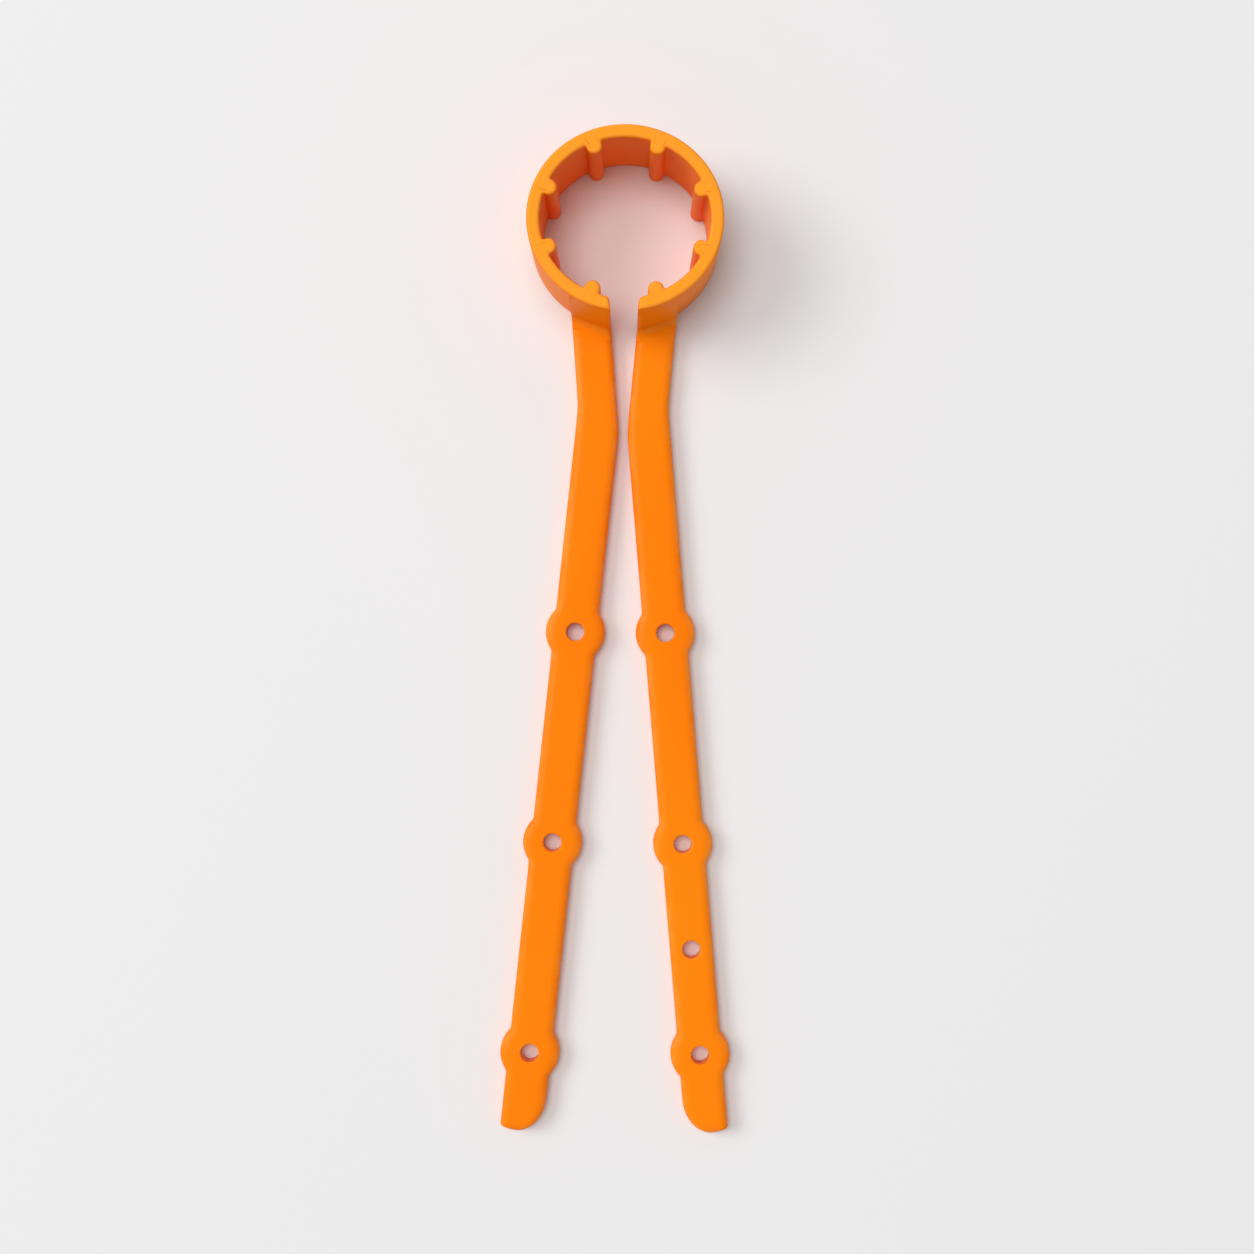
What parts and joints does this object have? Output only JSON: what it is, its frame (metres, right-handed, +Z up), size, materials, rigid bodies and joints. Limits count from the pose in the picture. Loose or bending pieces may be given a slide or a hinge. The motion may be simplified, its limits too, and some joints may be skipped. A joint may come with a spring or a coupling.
{
  "type": "sprung grabber tongs",
  "caption": "One-piece sprung plastic garden grabber: an open ring with inner grip lugs on two long crossed-in handles with eyelets.",
  "frame": {"origin": "middle of the tool's footprint, on the flat underside", "axes": "+Y along the tool from the handle tips to the ring, +X across it, +Z up the ring's height"},
  "size_m": [0.0544, 0.2324, 0.028],
  "materials": {
    "orange_moulding": "satin moulded polypropylene, orange all through"
  },
  "bodies": {
    "crown": {"ring_crown": "orange_moulding"},
    "left_shoulder": {"left_ring_shoulder": "orange_moulding"},
    "left_cheek": {"left_ring_cheek": "orange_moulding"},
    "left_jaw": {"left_ring_jaw": "orange_moulding", "left_root_gusset": "orange_moulding", "left_shank": "orange_moulding"},
    "left_handle": {"left_upper_bar": "orange_moulding", "left_upper_eyelet": "orange_moulding", "left_middle_bar": "orange_moulding", "left_middle_eyelet": "orange_moulding", "left_lower_bar": "orange_moulding", "left_lower_eyelet": "orange_moulding", "left_tip": "orange_moulding"},
    "right_shoulder": {"right_ring_shoulder": "orange_moulding"},
    "right_cheek": {"right_ring_cheek": "orange_moulding"},
    "right_jaw": {"right_ring_jaw": "orange_moulding", "right_root_gusset": "orange_moulding", "right_shank": "orange_moulding"},
    "right_handle": {"right_upper_bar": "orange_moulding", "right_upper_eyelet": "orange_moulding", "right_middle_bar": "orange_moulding", "right_middle_eyelet": "orange_moulding", "right_lower_bar": "orange_moulding", "right_lower_eyelet": "orange_moulding", "right_tip": "orange_moulding"}
  },
  "joints": [
    {"name": "left_shoulder_flex", "type": "hinge", "parent": "crown", "child": "left_shoulder", "pos_m": [-0.01471, 0.10896, 0.014], "axis": [0, 0, -1], "range_deg": [-0.32, 5], "stiffness_Nm_per_rad": 6},
    {"name": "left_cheek_flex", "type": "hinge", "parent": "left_shoulder", "child": "left_cheek", "pos_m": [-0.0208, 0.09517, 0.014], "axis": [0, 0, -1], "range_deg": [-0.32, 5]},
    {"name": "left_jaw_flex", "type": "hinge", "parent": "left_cheek", "child": "left_jaw", "pos_m": [-0.01471, 0.08138, 0.014], "axis": [0, 0, -1], "range_deg": [-0.32, 5]},
    {"name": "left_handle_bow", "type": "hinge", "parent": "left_jaw", "child": "left_handle", "pos_m": [-0.00605, 0.05157, 0.0025], "axis": [0, 0, 1], "range_deg": [0, 2.2], "stiffness_Nm_per_rad": 8},
    {"name": "right_shoulder_flex", "type": "hinge", "parent": "crown", "child": "right_shoulder", "pos_m": [0.01471, 0.10896, 0.014], "axis": [0, 0, 1], "range_deg": [-0.32, 5]},
    {"name": "right_cheek_flex", "type": "hinge", "parent": "right_shoulder", "child": "right_cheek", "pos_m": [0.0208, 0.09517, 0.014], "axis": [0, 0, 1], "range_deg": [-0.32, 5]},
    {"name": "right_jaw_flex", "type": "hinge", "parent": "right_cheek", "child": "right_jaw", "pos_m": [0.01471, 0.08138, 0.014], "axis": [0, 0, 1], "range_deg": [-0.32, 5]},
    {"name": "right_handle_bow", "type": "hinge", "parent": "right_jaw", "child": "right_handle", "pos_m": [0.00605, 0.05157, 0.0025], "axis": [0, 0, -1], "range_deg": [0, 2.2]}
  ],
  "couplings": [
    {"joint": "left_cheek_flex", "follows": "left_shoulder_flex", "ratio": 1},
    {"joint": "left_jaw_flex", "follows": "left_shoulder_flex", "ratio": 1},
    {"joint": "right_shoulder_flex", "follows": "left_shoulder_flex", "ratio": 1},
    {"joint": "right_cheek_flex", "follows": "left_shoulder_flex", "ratio": 1},
    {"joint": "right_jaw_flex", "follows": "left_shoulder_flex", "ratio": 1},
    {"joint": "right_handle_bow", "follows": "left_handle_bow", "ratio": 1}
  ]
}
